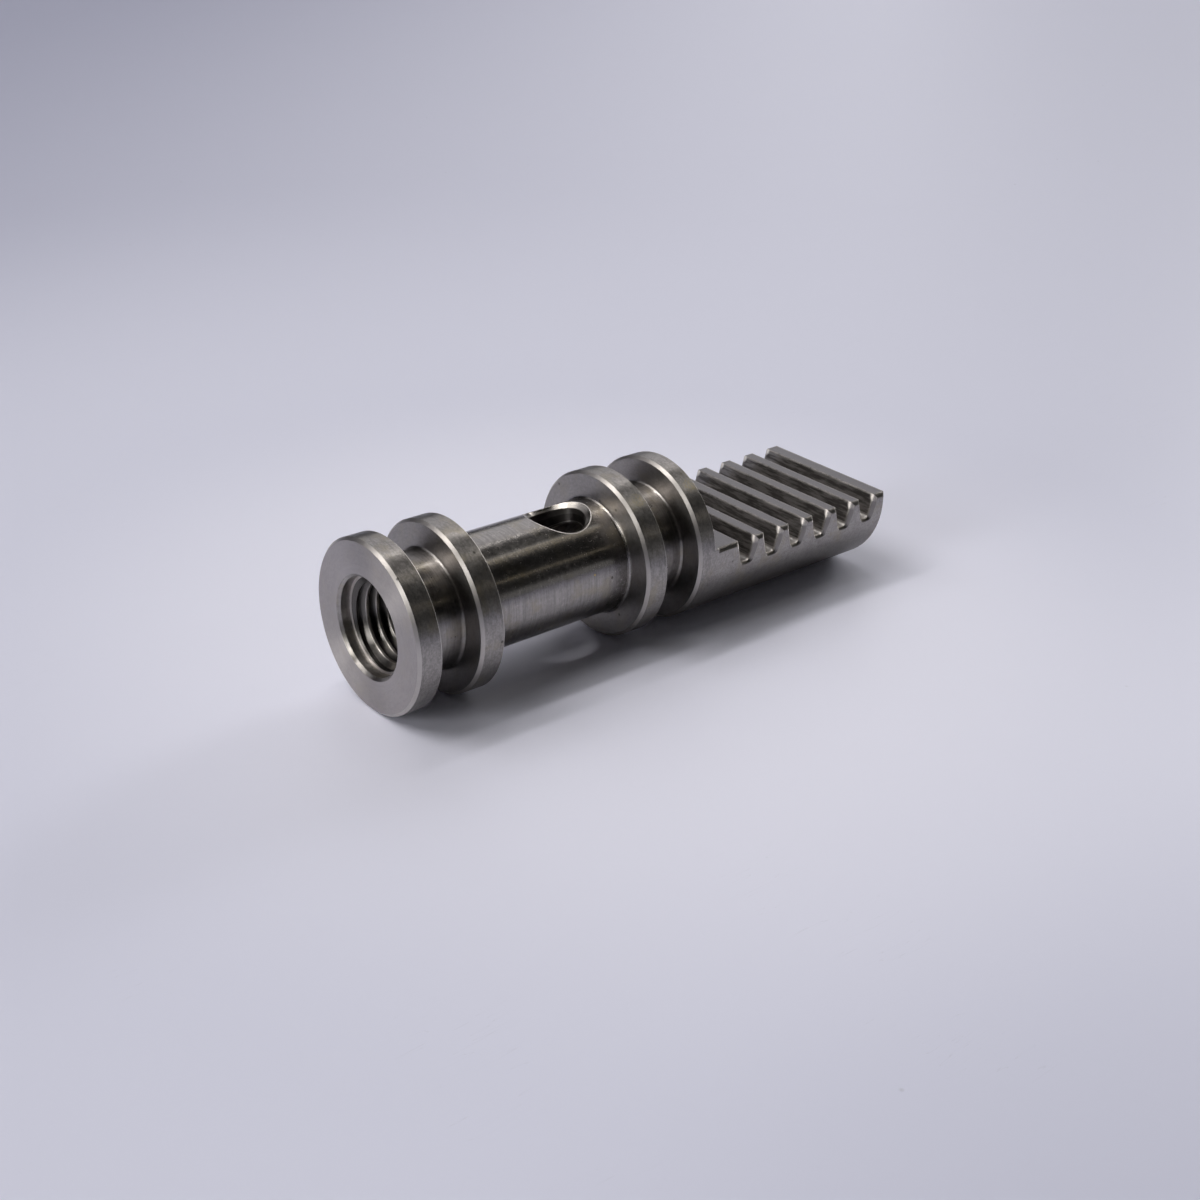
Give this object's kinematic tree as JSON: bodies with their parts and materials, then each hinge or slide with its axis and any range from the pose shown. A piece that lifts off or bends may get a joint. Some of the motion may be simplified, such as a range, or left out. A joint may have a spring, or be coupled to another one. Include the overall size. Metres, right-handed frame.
{
  "type": "valve spool",
  "caption": "Turned steel valve spool with seal grooves, a threaded axial bore, a waist with a cross hole and a milled rack at one end.",
  "frame": {"origin": "on the turning axis, halfway along the spool", "axes": "+X along the spool from the threaded face to the rack end, +Z out of the rack's flat"},
  "size_m": [0.0532, 0.015, 0.015],
  "materials": {
    "stainless_steel": "satin, finely turned"
  },
  "bodies": {
    "root": {"valve_spool": "stainless_steel"}
  },
  "joints": []
}
